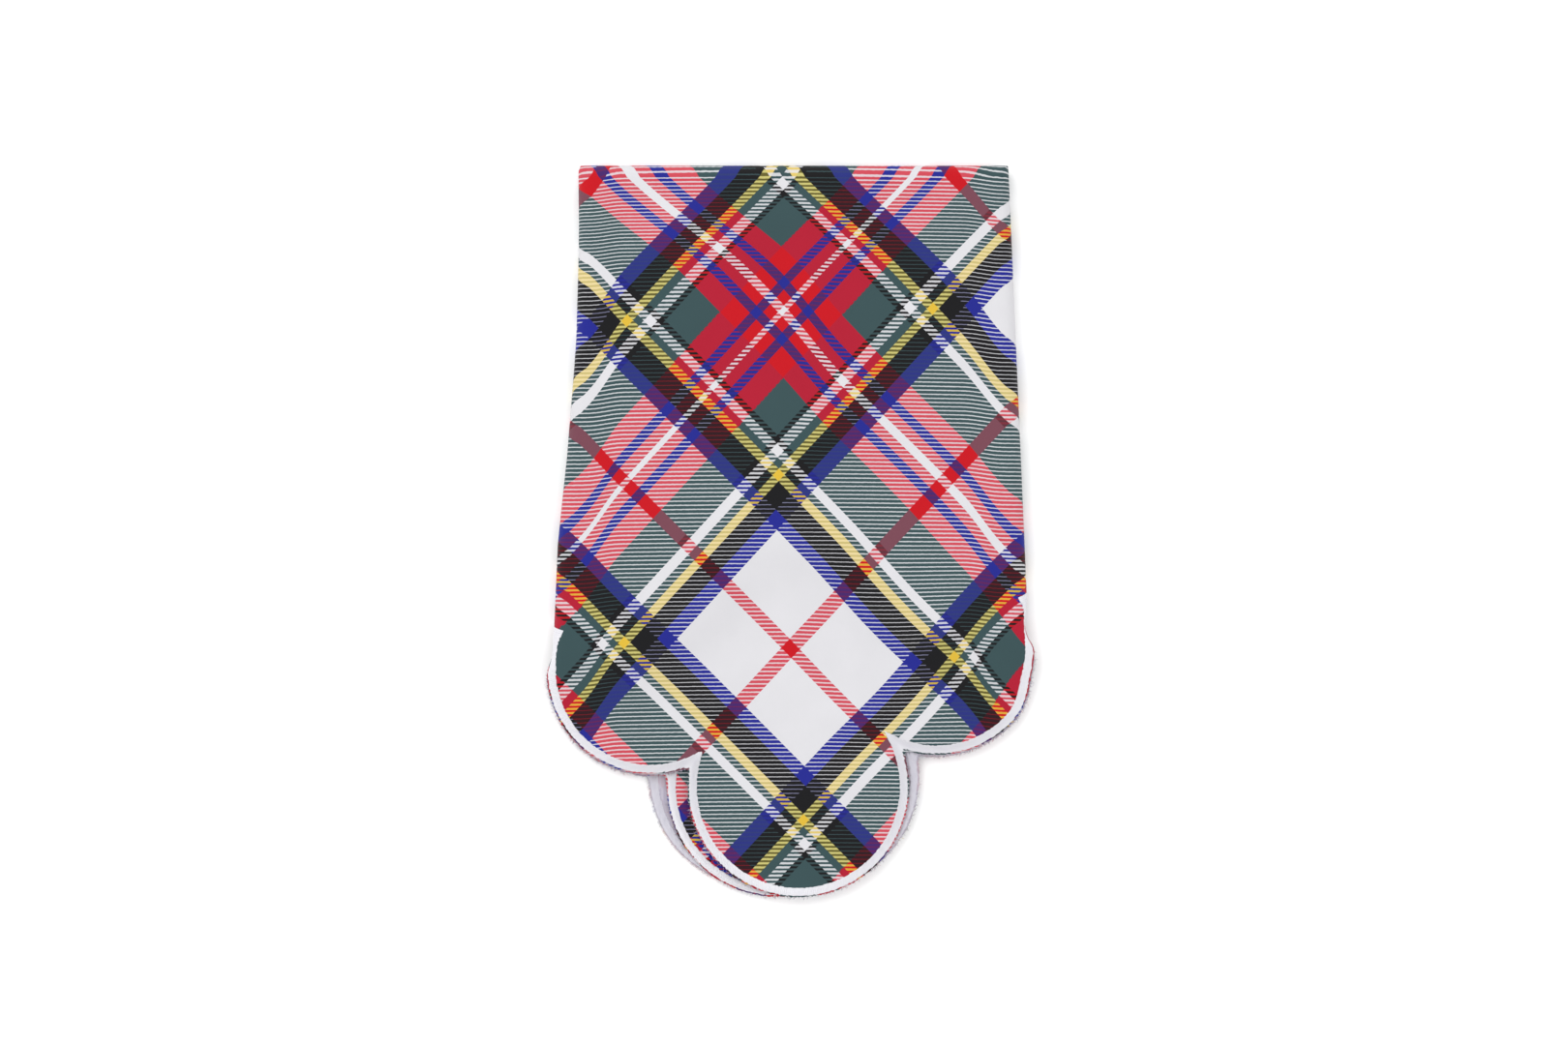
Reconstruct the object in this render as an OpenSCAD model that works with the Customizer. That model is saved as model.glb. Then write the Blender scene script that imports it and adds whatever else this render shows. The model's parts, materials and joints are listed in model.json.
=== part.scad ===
// Square scalloped napkin, quarter-folded into a diamond, with its two side
// points and its closed point turned under. It lies printed side up on z = 0.

/* [Hem] */
// Spacing of the scallops along a side of the napkin
scallop_pitch = 71.5; // [71:0.1:72]
// Radius of a scallop, out to the trimmed edge of the cloth
scallop_r = 40; // [39.5:0.1:40.5]
// Width of the satin stitching
stitch_w = 2.6; // [2:0.1:4]
// Cloth left outside the stitching
trim_w = 0.9; // [0.3:0.1:1.2]

/* [Cloth] */
// Thickness of the cloth
cloth_t = 0.5; // [0.3:0.05:0.55]
// Height of the stitching above the cloth, on each face
stitch_t = 0.25; // [0.1:0.05:0.3]
// Height from the middle of one layer to the middle of the next
layer_step = 1.15; // [1.15:0.05:1.4]
// Bend radius of the innermost layer in a fold
inner_bend_r = 0.85; // [0.85:0.05:1.2]

/* [Folds] */
// Width across the top fold
top_w = 157.8; // [154:0.2:160]
// Height from the top fold down to the lowest scallop
folded_h = 266.2; // [264:0.2:268]
// Slant of the side folds, so that the napkin widens downwards
side_slant = 2.46; // [1.5:0.1:3]
// Length of a side fold, which ends in a notch between two scallops
side_fold_l = 157; // [154:0.5:158]
// Room between two flaps that lie side by side
flap_gap = 1.4; // [1:0.1:3]

/* [Hidden] */

$fn = 96;
layers = 4;
// Scallops from the napkin's corner to the crease halfway along its side
half_row = 3;
far = 400;
// How far the second scallop hangs below the end of the side fold
scallop_drop = 4.5;

// Sideways and downward shift of each layer's corner scallop, top layer first
corner_shift = [[2.6, 0], [7.5, 0], [-4.6, 0], [-9, -1]];

function bend_r(layer) = inner_bend_r + (layers - layer) * layer_step;
outer_bend_r = bend_r(1) + cloth_t / 2;
// Height of the fold axes: the lowest stitching rests on z = 0
axis_z = outer_bend_r + stitch_t;
// Width of cloth taken up in a fold, the same for every layer
fold_take = PI * (bend_r(1) + bend_r(layers)) / 2;

// Corner where the straight cloth meets the top fold and the right fold
fold_x = top_w / 2 - outer_bend_r;
fold_y = folded_h / 2 - outer_bend_r;
slant_out = [cos(side_slant), sin(side_slant)];
slant_up = [-sin(side_slant), cos(side_slant)];

corner_y = -folded_h / 2 + scallop_r + 1;
// Middle of the whole napkin, before the top point is turned under
apex_y = corner_y + half_row * scallop_pitch * sqrt(2);
// The same point once it is turned under
turned_apex_y = 2 * fold_y + fold_take - apex_y;

// Centre of a scallop: side is 1 to the right and -1 to the left
function scallop(layer, side, n) = n == 0
    ? [corner_shift[layer - 1].x, corner_y + corner_shift[layer - 1].y]
    : [side * n * scallop_pitch / sqrt(2), corner_y + n * scallop_pitch / sqrt(2)];

// One quarter of the napkin, flat, with scallops of radius r
module quarter(layer, r) {
    intersection() {
        union() {
            for (side = [-1, 1], n = [0 : half_row])
                translate(scallop(layer, side, n)) circle(r);
            polygon([
                scallop(layer, 1, 0), scallop(layer, 1, 1), scallop(layer, 1, half_row),
                [0, apex_y],
                scallop(layer, -1, half_row), scallop(layer, -1, 1),
            ]);
        }
        polygon([[0, apex_y], [-far, apex_y - far], [far, apex_y - far]]);
    }
}

module quarter_cloth(layer) quarter(layer, scallop_r);

// The band of satin stitching just inside the trimmed edge
module quarter_hem(layer) {
    difference() {
        quarter(layer, scallop_r - trim_w);
        quarter(layer, scallop_r - trim_w - stitch_w);
    }
}

// Plan of everything beyond the right fold by more than gap
module beyond_side(gap, length) {
    translate([fold_x, fold_y]) rotate(side_slant)
        translate([gap, -length]) square([far, length + far]);
}

module front_part() {
    difference() {
        children();
        for (side = [0, 1]) mirror([side, 0]) {
            beyond_side(0, side_fold_l);
            // Below the end of the fold, only the scallop beside it stays flat
            difference() {
                beyond_side(0, side_fold_l + scallop_drop);
                translate(scallop(1, 1, 1)) circle(scallop_r);
            }
        }
        translate([-far, fold_y]) square([2 * far, far]);
    }
}

// Turns the plan of the right side point under, about the middle of its fold
module turned_side() {
    intersection() {
        translate([fold_x, fold_y]) rotate(side_slant) translate([fold_take, 0])
            mirror([1, 0]) rotate(-side_slant) translate([-fold_x, -fold_y])
                intersection() {
                    children();
                    beyond_side(fold_take + flap_gap / 8, side_fold_l + scallop_drop);
                }
        polygon([
            [flap_gap / 2, -far], [far, -far],
            [far, turned_apex_y + far - flap_gap],
            [flap_gap / 2, turned_apex_y + flap_gap / 2 - flap_gap],
        ]);
    }
}

module turned_top() {
    translate([0, 2 * fold_y + fold_take]) mirror([0, 1])
        intersection() {
            children();
            translate([-fold_x + flap_gap / 4, fold_y + fold_take + flap_gap / 8])
                square([2 * fold_x - flap_gap / 2, far]);
        }
}

// Sets a plan at its layer's height: level is 1 above the fold axes, -1 below
module sheet(layer, level) {
    translate([0, 0, axis_z + level * bend_r(layer) - cloth_t / 2])
        linear_extrude(cloth_t) children();
}

// The printed face looks up in layers 1 and 3 above the axes
function printed_side(layer, level) = (layer % 2 == 1 ? 1 : -1) * level;

// Sets a plan against one face of its layer
module thread(layer, level, face) {
    middle = axis_z + level * bend_r(layer) + face * (cloth_t + stitch_t) / 2;
    translate([0, 0, middle - stitch_t / 2]) linear_extrude(stitch_t) children();
}

// Half tube that joins a layer above the axes to the same layer below
module half_tube(layer) {
    difference() {
        rotate([90, 0, 0]) cylinder(h = 2 * far, r = bend_r(layer) + cloth_t / 2, center = true);
        rotate([90, 0, 0]) cylinder(h = 3 * far, r = bend_r(layer) - cloth_t / 2, center = true);
    }
}

// Outer corner where the top fold and the right fold meet in a mitre
mitre = [fold_x, fold_y]
    + outer_bend_r * (slant_out + [0, 1]) / (1 + slant_out.y);

module front_cloth(layer)
    color("firebrick") sheet(layer, 1) front_part() quarter_cloth(layer);

module front_needle_thread(layer)
    color("lavender") thread(layer, 1, printed_side(layer, 1))
        front_part() quarter_hem(layer);

module front_bobbin_thread(layer)
    color("white") thread(layer, 1, -printed_side(layer, 1))
        front_part() quarter_hem(layer);

module right_flap_cloth(layer)
    color("darkslategray") sheet(layer, -1) turned_side() quarter_cloth(layer);

module right_flap_needle_thread(layer)
    color("lavender") thread(layer, -1, printed_side(layer, -1))
        turned_side() quarter_hem(layer);

module right_flap_bobbin_thread(layer)
    color("white") thread(layer, -1, -printed_side(layer, -1))
        turned_side() quarter_hem(layer);

module left_flap_cloth(layer) mirror([1, 0, 0]) right_flap_cloth(layer);

module left_flap_needle_thread(layer) mirror([1, 0, 0]) right_flap_needle_thread(layer);

module left_flap_bobbin_thread(layer) mirror([1, 0, 0]) right_flap_bobbin_thread(layer);

module top_flap_cloth(layer)
    color("whitesmoke") sheet(layer, -1) turned_top() quarter_cloth(layer);

module right_bend(layer) {
    fold_end = [fold_x, fold_y] - side_fold_l * slant_up;
    color("midnightblue") intersection() {
        translate([fold_x, fold_y, axis_z]) rotate([0, 0, side_slant]) half_tube(layer);
        linear_extrude(2 * axis_z)
            polygon([[fold_x, fold_y], mitre, fold_end + outer_bend_r * slant_out, fold_end]);
    }
}

module left_bend(layer) mirror([1, 0, 0]) right_bend(layer);

module top_bend(layer)
    color("midnightblue") intersection() {
        translate([0, fold_y, axis_z]) rotate([0, 0, 90]) half_tube(layer);
        linear_extrude(2 * axis_z) polygon([
            [-fold_x, fold_y], [-mitre.x, mitre.y], mitre, [fold_x, fold_y],
        ]);
    }

front_cloth(1);  // front_cloth_1
front_cloth(2);  // front_cloth_2
front_cloth(3);  // front_cloth_3
front_cloth(4);  // front_cloth_4
front_needle_thread(1);  // front_needle_thread_1
front_needle_thread(2);  // front_needle_thread_2
front_needle_thread(3);  // front_needle_thread_3
front_needle_thread(4);  // front_needle_thread_4
front_bobbin_thread(1);  // front_bobbin_thread_1
front_bobbin_thread(2);  // front_bobbin_thread_2
front_bobbin_thread(3);  // front_bobbin_thread_3
front_bobbin_thread(4);  // front_bobbin_thread_4
left_flap_cloth(1);  // left_flap_cloth_1
left_flap_cloth(2);  // left_flap_cloth_2
left_flap_cloth(3);  // left_flap_cloth_3
left_flap_cloth(4);  // left_flap_cloth_4
left_flap_needle_thread(1);  // left_flap_needle_thread_1
left_flap_needle_thread(2);  // left_flap_needle_thread_2
left_flap_needle_thread(3);  // left_flap_needle_thread_3
left_flap_needle_thread(4);  // left_flap_needle_thread_4
left_flap_bobbin_thread(1);  // left_flap_bobbin_thread_1
left_flap_bobbin_thread(2);  // left_flap_bobbin_thread_2
left_flap_bobbin_thread(3);  // left_flap_bobbin_thread_3
left_flap_bobbin_thread(4);  // left_flap_bobbin_thread_4
right_flap_cloth(1);  // right_flap_cloth_1
right_flap_cloth(2);  // right_flap_cloth_2
right_flap_cloth(3);  // right_flap_cloth_3
right_flap_cloth(4);  // right_flap_cloth_4
right_flap_needle_thread(1);  // right_flap_needle_thread_1
right_flap_needle_thread(2);  // right_flap_needle_thread_2
right_flap_needle_thread(3);  // right_flap_needle_thread_3
right_flap_needle_thread(4);  // right_flap_needle_thread_4
right_flap_bobbin_thread(1);  // right_flap_bobbin_thread_1
right_flap_bobbin_thread(2);  // right_flap_bobbin_thread_2
right_flap_bobbin_thread(3);  // right_flap_bobbin_thread_3
right_flap_bobbin_thread(4);  // right_flap_bobbin_thread_4
top_flap_cloth(1);  // top_flap_cloth_1
top_flap_cloth(2);  // top_flap_cloth_2
top_flap_cloth(3);  // top_flap_cloth_3
top_flap_cloth(4);  // top_flap_cloth_4
left_bend(1);  // left_bend_1
left_bend(2);  // left_bend_2
left_bend(3);  // left_bend_3
left_bend(4);  // left_bend_4
right_bend(1);  // right_bend_1
right_bend(2);  // right_bend_2
right_bend(3);  // right_bend_3
right_bend(4);  // right_bend_4
top_bend(1);  // top_bend_1
top_bend(2);  // top_bend_2
top_bend(3);  // top_bend_3
top_bend(4);  // top_bend_4
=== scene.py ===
import json
import math

import bpy
import numpy as np
from mathutils.geometry import delaunay_2d_cdt
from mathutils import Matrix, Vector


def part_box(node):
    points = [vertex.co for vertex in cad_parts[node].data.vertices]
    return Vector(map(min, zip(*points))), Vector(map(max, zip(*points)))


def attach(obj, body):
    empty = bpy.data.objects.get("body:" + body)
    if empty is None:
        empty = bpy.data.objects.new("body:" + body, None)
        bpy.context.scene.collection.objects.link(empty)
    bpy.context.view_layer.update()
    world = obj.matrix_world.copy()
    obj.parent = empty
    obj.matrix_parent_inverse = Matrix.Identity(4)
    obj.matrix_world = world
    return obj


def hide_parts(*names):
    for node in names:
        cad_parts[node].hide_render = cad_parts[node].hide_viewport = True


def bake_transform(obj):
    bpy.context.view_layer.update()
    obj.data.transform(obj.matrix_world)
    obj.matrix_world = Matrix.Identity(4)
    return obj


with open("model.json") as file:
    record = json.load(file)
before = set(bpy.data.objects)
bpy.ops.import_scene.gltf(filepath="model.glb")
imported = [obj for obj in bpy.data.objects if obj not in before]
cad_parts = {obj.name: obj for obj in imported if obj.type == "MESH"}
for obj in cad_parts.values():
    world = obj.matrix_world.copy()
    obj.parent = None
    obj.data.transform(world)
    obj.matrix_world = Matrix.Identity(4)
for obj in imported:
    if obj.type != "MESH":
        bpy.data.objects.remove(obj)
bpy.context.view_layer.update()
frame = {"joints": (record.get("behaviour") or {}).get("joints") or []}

# A square napkin with a scalloped hem, folded in quarters to a diamond. Its two side points and
# its closed point (the middle of the napkin, called the apex) are turned under. All the cloth is
# laid out in the plan of that diamond first, and place() then bends the plan around the folds.

LAYERS = (1, 2, 3, 4)
MM = 0.001

# ---- camera

# Straight down from above, with a long lens. AIM is in the middle of the picture, which takes in
# VIEW_W across at the height of the cloth's top.
VIEW_W = 567 * MM
AIM = (-2.6 * MM, 3.7 * MM)
CLOTH_TOP = 8 * MM
LENS = 85.0
SENSOR_W = 36.0
camera = bpy.data.objects.new("camera", bpy.data.cameras.new("camera"))
bpy.context.scene.collection.objects.link(camera)
camera.data.lens = LENS
camera.data.sensor_width = SENSOR_W
camera.data.clip_start = 0.01
camera.location = (*AIM, VIEW_W * LENS / SENSOR_W + CLOTH_TOP)
bpy.context.scene.camera = camera

# ---- sizes from the frame


def joint(name):
    return next(j for j in frame["joints"] if j["name"] == name)


def middle_height(node):
    low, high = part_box(node)
    return (low.z + high.z) / 2


axis_z = joint("top_flap_fold")["pos_m"][2]
bend_r = {i: middle_height(f"front_cloth_{i}") - axis_z for i in LAYERS}
front_low, front_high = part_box("front_cloth_1")
cloth_t = front_high.z - front_low.z
fold_y = front_high.y
half_take = joint("top_flap_fold")["pos_m"][1] - fold_y
take = 2 * half_take


class Fold:
    """A straight fold: corner is where its cloth starts to bend, out points away from the front,
    along runs up the fold towards the top, and side is 1 on the right and -1 on the left."""

    def __init__(self, body, side):
        found = joint(f"{body}_fold")
        self.body = body
        self.side = side
        self.out = np.array([side * abs(found["axis"][1]), abs(found["axis"][0])])
        self.along = np.array([-self.out[1], self.out[0]])
        if self.along[1] < 0:
            self.along = -self.along
        self.corner = np.array(found["pos_m"][:2]) - self.out * half_take

    def across(self, p):
        return (p - self.corner) @ self.out

    def up(self, p):
        return (p - self.corner) @ self.along

    def point(self, across, up):
        return self.corner + across * self.out + up * self.along


RIGHT = Fold("right_flap", 1)
LEFT = Fold("left_flap", -1)
TOP = Fold("top_flap", 0)

# Scallops, with the CAD model's spacing and radius. TRIM is the cloth outside the stitching,
# HALF_ROW the steps from the corner scallop to the next corner's, and FLAP_GAP is between the flaps.
PITCH = 71.5 * MM
SCALLOP_R = 40.0 * MM
TRIM = 0.45 * MM
STITCH_W = 2.9 * MM
HALF_ROW = 3
FLAP_GAP = 1.4 * MM
corner_y = front_low.y + SCALLOP_R
apex = np.array([0.0, corner_y + HALF_ROW * PITCH * math.sqrt(2)])

# The three scallops that show, as they lie: centre and radius, for the top layer
SHOWN = {
    "left": ((-50.9 * MM, -50.0 * MM), 37.6 * MM),
    "corner": ((2.6 * MM, -92.0 * MM), 40.2 * MM),
    "right": ((52.7 * MM, -42.6 * MM), 38.0 * MM),
}
# How far each layer's scallops lie from the top layer's, across and up, in millimetres
STAGGER = {
    1: {"left": (0, 0), "corner": (0, 0), "right": (0, 0)},
    2: {"left": (0.3, -0.5), "corner": (3.6, 3.0), "right": (0.2, -0.6)},
    3: {"left": (-0.2, -0.6), "corner": (-7.7, 0.0), "right": (-0.6, -0.5)},
    4: {"left": (0.5, -0.9), "corner": (-14.1, 3.5), "right": (-1.2, -0.8)},
}


def shown_scallop(layer, name, inset=0.0):
    """Centre and radius of one of the three scallops of the front, inset from the cut edge."""
    (x, y), r = SHOWN[name]
    dx, dy = STAGGER[layer][name]
    return np.array([x + dx * MM, y + dy * MM]), r - inset


def hidden_scallop(n):
    """Centre and radius of scallop n of the right side, counted from the corner scallop."""
    step = n * PITCH / math.sqrt(2)
    return np.array([step, corner_y + step]), SCALLOP_R


# ---- plan geometry


def angle_of(centre, p):
    return math.atan2(p[1] - centre[1], p[0] - centre[0])


def circles_meet(c0, r0, c1, r1, side):
    """Where two circles cross, on the side that the vector side points to."""
    gap = c1 - c0
    d = np.linalg.norm(gap)
    along = (d * d + r0 * r0 - r1 * r1) / (2 * d)
    height = math.sqrt(max(r0 * r0 - along * along, 0.0))
    normal = np.array([-gap[1], gap[0]]) / d
    if normal @ np.array(side) < 0:
        normal = -normal
    return c0 + gap / d * along + normal * height


def circle_meets_row(centre, r, fold, across, sign=1):
    """Where a circle crosses the line this far beyond a fold, above or below its centre."""
    offset = across - fold.across(centre)
    height = math.sqrt(max(r * r - offset * offset, 0.0))
    return fold.point(across, fold.up(centre) + sign * height)


def clip(polygon, point, outward):
    """The part of a polygon on the inner side of a line."""
    kept = []
    for a, b in zip(polygon, np.roll(polygon, -1, axis=0)):
        da, db = (a - point) @ outward, (b - point) @ outward
        if da <= 0:
            kept.append(a)
        if (da < 0 < db) or (db < 0 < da):
            kept.append(a + (b - a) * da / (da - db))
    return np.array(kept)


def refine(polygon, step):
    """The polygon with its long edges divided into pieces of about step."""
    out = []
    for a, b in zip(polygon, np.roll(polygon, -1, axis=0)):
        count = max(1, int(math.ceil(np.linalg.norm(b - a) / step)))
        out += [a + (b - a) * k / count for k in range(count)]
    out = np.array(out)
    apart = np.linalg.norm(out - np.roll(out, 1, axis=0), axis=1)
    return out[apart > 0.02 * MM]


def inside(polygon, p):
    x, y = p[:, 0:1], p[:, 1:2]
    ax, ay = polygon[:, 0], polygon[:, 1]
    bx, by = np.roll(ax, -1), np.roll(ay, -1)
    spans = (ay > y) != (by > y)
    rise = np.where(by == ay, 1.0, by - ay)
    crosses = x < ax + (y - ay) / rise * (bx - ax)
    return (spans & crosses).sum(1) % 2 == 1


def distance_to(polygon, p):
    a = polygon
    edge = np.roll(polygon, -1, axis=0) - a
    length2 = np.maximum((edge ** 2).sum(1), 1e-18)
    t = np.clip((((p[:, None] - a) * edge).sum(2)) / length2, 0, 1)
    return np.sqrt((((p[:, None] - a) - t[..., None] * edge) ** 2).sum(2).min(1))


# ---- where the cloth goes

# A side fold ends in a notch of the hem, this far beyond the line where the cloth starts to bend
NOTCH_ACROSS = 3.6 * MM
# Length below that notch over which the fold opens out into the flat scallop
EASE = 11 * MM


def fold_notch(layer, fold):
    """The notch at the lower end of a side fold, where the shown scallop stops."""
    centre, r = shown_scallop(layer, "right" if fold.side > 0 else "left")
    return circle_meets_row(centre, r, fold, NOTCH_ACROSS)


def smooth(t):
    t = np.clip(t, 0, 1)
    return t * t * (3 - 2 * t)


def crease_normal(side):
    return np.array([side, 1.0]) / math.sqrt(2)


def bend_round(p, across, fold, r):
    """Plan points bent round one fold, r from its axis."""
    theta = np.clip(across / take, 0, 1) * math.pi
    reach = np.where(across <= take, r * np.sin(theta), take - across)
    half = np.clip(across, 1e-9, half_take)
    shrink = r * np.sin(half / take * math.pi) / half
    if fold is TOP:
        room = np.where(p[:, 0] > 0, RIGHT.corner[0], -LEFT.corner[0])
        extra = np.sign(p[:, 0]) * np.maximum(np.abs(p[:, 0]) - room, 0)
        along = np.array([1.0, 0.0])
    else:
        extra = np.maximum(fold.up(p), 0)
        along = fold.along
    xy = p + np.outer(reach - across, fold.out) + np.outer(extra * (shrink - 1), along)
    return np.column_stack([xy, axis_z + r * np.cos(theta)])


def place(p, layer, lift, front):
    """Bends plan points around the folds. lift is how far a point is from its layer's middle,
    on the upper side of the front. front says that a side fold eases out below its notch."""
    r = bend_r[layer] + lift
    flat = np.column_stack([p, axis_z + r * np.ones(len(p))])
    out = flat.copy()
    depth = {fold: fold.across(p) for fold in (TOP, LEFT, RIGHT)}
    deepest = np.max(list(depth.values()), axis=0)
    for fold, across in depth.items():
        bent = bend_round(p, across, fold, r)
        weight = np.ones(len(p))
        if front and fold is not TOP:
            below = (p - fold_notch(layer, fold)) @ crease_normal(fold.side)
            weight = smooth(1 + below / EASE)
        mine = (across > 0) & (across >= deepest)
        out = np.where(mine[:, None], flat + weight[:, None] * (bent - flat), out)
    return out


# The front lies on the turned-under flaps, and beyond them it sinks to the table
REST_GAP = 0.7 * MM
sink = axis_z + bend_r[4] - cloth_t / 2 - REST_GAP
# The front's soft waves: height in millimetres, wavelengths across and up in metres, and phase
WAVES = ((0.30, 0.151, 0.233, 0.7), (0.22, 0.093, -0.117, 2.1), (0.12, 0.049, 0.071, 4.0))


def drape(p):
    """Height of the front's cloth above its flat place: soft waves, and the sag past the flaps."""
    x, y = p[:, 0], p[:, 1]
    outward = smooth(np.abs(x) / (62 * MM))
    edge = 4 * MM - outward * np.where(x > 0, 33 * MM, 43 * MM)
    fall = smooth((edge - y) / (34 * MM))
    inner = np.minimum.reduce([-RIGHT.across(p), -LEFT.across(p), fold_y - y])
    calm = np.maximum(smooth(inner / (22 * MM)), smooth((-40 * MM - y) / (30 * MM)))
    waves = sum(high * np.sin(2 * math.pi * (x / run + y / rise) + phase)
                for high, run, rise, phase in WAVES)
    lobes = 0.4 * np.abs(np.sin(2 * math.pi * (x / 0.062 + 0.3))) * smooth((-70 * MM - y) / (40 * MM))
    return MM * calm * (1 - 0.75 * fall) * (waves + 0.3) + MM * lobes * fall - sink * fall


# How far the left side is drawn in, at these heights above the middle of the object
DRAWN_IN_AT = np.array([-4, 14, 28, 42, 56, 70, 84, 98, 112, 126, 140]) * MM
DRAWN_IN = np.array([0, 1.1, 2.0, 2.5, 3.1, 3.5, 3.3, 3.1, 2.7, 1.9, 1.3]) * MM


def draw_in(p):
    """How far the cloth beside the left fold is drawn in, easing off towards the middle."""
    return np.interp(p[:, 1], DRAWN_IN_AT, DRAWN_IN) * smooth((-48 * MM - p[:, 0]) / (28 * MM))


# ---- the print

# Centre of a white square of the tartan, and the two directions in which its stripes repeat.
# A step along A is towards the lower right, and a step along B towards the upper right.
PRINT_ORIGIN = np.array([-0.16, -42.4]) * MM
PRINT_A = np.array([0.69874, -0.71194])
PRINT_B = np.array([0.67898, 0.73602])
# The cloth lies a little off square, so the stripes bow by this much per metre of a*a, a*b, b*b
BOW_X = np.array([-0.0709, -0.1777, -0.0343])
BOW_Y = np.array([-0.0300, -0.2286, -0.0417])
# How far out the bow goes on growing, and in how many rounds it is taken off again
BOW_REACH = 0.16
BOW_ROUNDS = 8


def print_place(p, bowed):
    """Place on the print of plan points: metres across the two sets of stripes."""
    to_print = np.linalg.inv(np.column_stack([PRINT_A, PRINT_B]))
    q = p - PRINT_ORIGIN
    ab = q @ to_print.T
    if bowed:
        for _ in range(BOW_ROUNDS):
            near = np.clip(ab, -BOW_REACH, BOW_REACH)
            a, b = near[:, 0], near[:, 1]
            terms = np.stack([a * a, a * b, b * b], 1)
            bow = np.column_stack([terms @ BOW_X, terms @ BOW_Y])
            ab = (q - bow) @ to_print.T
    return ab


def mirror_in(p, direction):
    """Plan points mirrored in the line through the apex with that direction."""
    d = np.array(direction) / np.linalg.norm(direction)
    q = p - apex
    return apex + 2 * np.outer(q @ d, d) - q


# The hidden layers' print lies this far off, along A and B, by the time it reaches the hem
PRINT_DRIFT = np.array([17.6, 20.4]) * MM
DRIFT_RUN = 300 * MM
# The lower right scallop lies turned by this angle, easing off over this distance
LOBE_TURN = math.radians(-4.0)
LOBE_REACH = 55 * MM


def turn_lobe(p):
    centre, _ = shown_scallop(1, "right")
    q = p - centre
    weight = smooth(1 - np.linalg.norm(q, axis=1) / LOBE_REACH)
    cos, sin = np.cos(LOBE_TURN * weight), np.sin(LOBE_TURN * weight)
    return centre + np.stack([cos * q[:, 0] - sin * q[:, 1], sin * q[:, 0] + cos * q[:, 1]], 1)


def print_shift(p):
    """How far the top layer's print lies from its even place: it is drawn in at the rolled edges."""
    x, y = p[:, 0], p[:, 1]
    top = smooth((y - 92 * MM) / (38 * MM))
    right = smooth((x + 5 * MM) / (25 * MM)) * smooth((y - 10 * MM) / (60 * MM)) * (1 - top)
    rolled = smooth((np.abs(x) - 62 * MM) / (14 * MM))
    left_roll, right_roll = rolled * (x < 0), rolled * (x > 0)
    across = -2.4 * top - 1.4 * right + 2.0 * left_roll - 1.2 * right_roll
    up = -5.0 * top - 1.9 * right - 1.2 * rolled
    return np.stack([across, up], 1) * MM


def print_of(layer, p):
    """Layers 2, 3 and 4 hold the other three quarters of the print."""
    if layer == 1:
        even = turn_lobe(p) - print_shift(p)
        even[:, 0] += draw_in(p)
        return print_place(even, bowed=True)
    run = apex[1] - p[:, 1]
    leftward = np.clip(0.5 - p[:, 0] / (2 * np.maximum(run, 1 * MM)), 0, 1)
    share = {2: leftward, 3: np.ones(len(p)), 4: 1 - leftward}[layer] * run / DRIFT_RUN
    if layer in (2, 3):
        p = mirror_in(p, (1, -1))
    if layer in (3, 4):
        p = mirror_in(p, (-1, -1))
    return print_place(p, bowed=False) - np.outer(share, PRINT_DRIFT)


# ---- the quarter creases

# The layers that one crease joins: beside the right crease 1 with 2 and 3 with 4,
# and beside the left crease 1 with 4 and 2 with 3
PARTNER = {1: {1: 2, 2: 1, 3: 4, 4: 3}, -1: {1: 4, 4: 1, 2: 3, 3: 2}}


def crease_r(layer, side):
    return abs(bend_r[layer] - bend_r[PARTNER[side][layer]]) / 2


def round_creases(p, layer):
    """Curls the cloth's edge at a crease halfway towards the layer that it joins."""
    p = p.copy()
    lift = np.zeros(len(p))
    for side in (1, -1):
        r = crease_r(layer, side)
        normal = crease_normal(side)
        towards = 1 if bend_r[PARTNER[side][layer]] > bend_r[layer] else -1
        over = (p - apex) @ normal + r
        turn = np.clip(over / r, 0, math.pi / 2)
        p += np.outer(np.where(over > 0, r * np.sin(turn) - over, 0), normal)
        lift += np.where(over > 0, towards * r * (1 - np.cos(turn)), 0)
    return p, lift


def crease_edge(layer, side):
    """A point on the line where this layer's cloth ends, in the middle of the crease's curl."""
    return apex + crease_normal(side) * crease_r(layer, side) * (math.pi / 2 - 1)


# ---- outlines of the cut pieces


def turn_of(arc_):
    """First and last angle of an arc, counter-clockwise from its first point to its last."""
    centre, _, first, last = arc_
    start, end = angle_of(centre, first), angle_of(centre, last)
    while end < start:
        end += 2 * math.pi
    return start, end


# Sampling along the hem, and how widely its notches are rounded
HEM_STEP = 0.14 * MM
NOTCH_ROUND = 2.2 * MM


def hem_counts(arcs):
    """How many samples each arc of the hem has."""
    return [max(8, int(arc_[1] * (turn_of(arc_)[1] - turn_of(arc_)[0]) / HEM_STEP)) for arc_ in arcs]


def hem_path(arcs, counts):
    """The arcs as one line of points, with the notches between them rounded."""
    parts = []
    for k, (arc_, count) in enumerate(zip(arcs, counts)):
        start, end = turn_of(arc_)
        angles = np.linspace(start, end, count + 1)[0 if k == 0 else 1:]
        parts.append(arc_[0] + arc_[1] * np.stack([np.cos(angles), np.sin(angles)], 1))
    path = np.vstack(parts)
    reach = int(3 * NOTCH_ROUND / HEM_STEP)
    weights = np.exp(-0.5 * (np.arange(-reach, reach + 1) * HEM_STEP / NOTCH_ROUND) ** 2)
    weights /= weights.sum()
    before = 2 * path[0] - path[reach:0:-1]
    after = 2 * path[-1] - path[-2:-reach - 2:-1]
    longer = np.vstack([before, path, after])
    return np.stack([np.convolve(longer[:, k], weights, "valid") for k in (0, 1)], 1)


# The trimmed edge takes every third sample, and is uneven by this much, inwards and outwards
EDGE_EVERY = 3
UNEVEN_IN, UNEVEN_OUT = 0.28, 0.22


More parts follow.
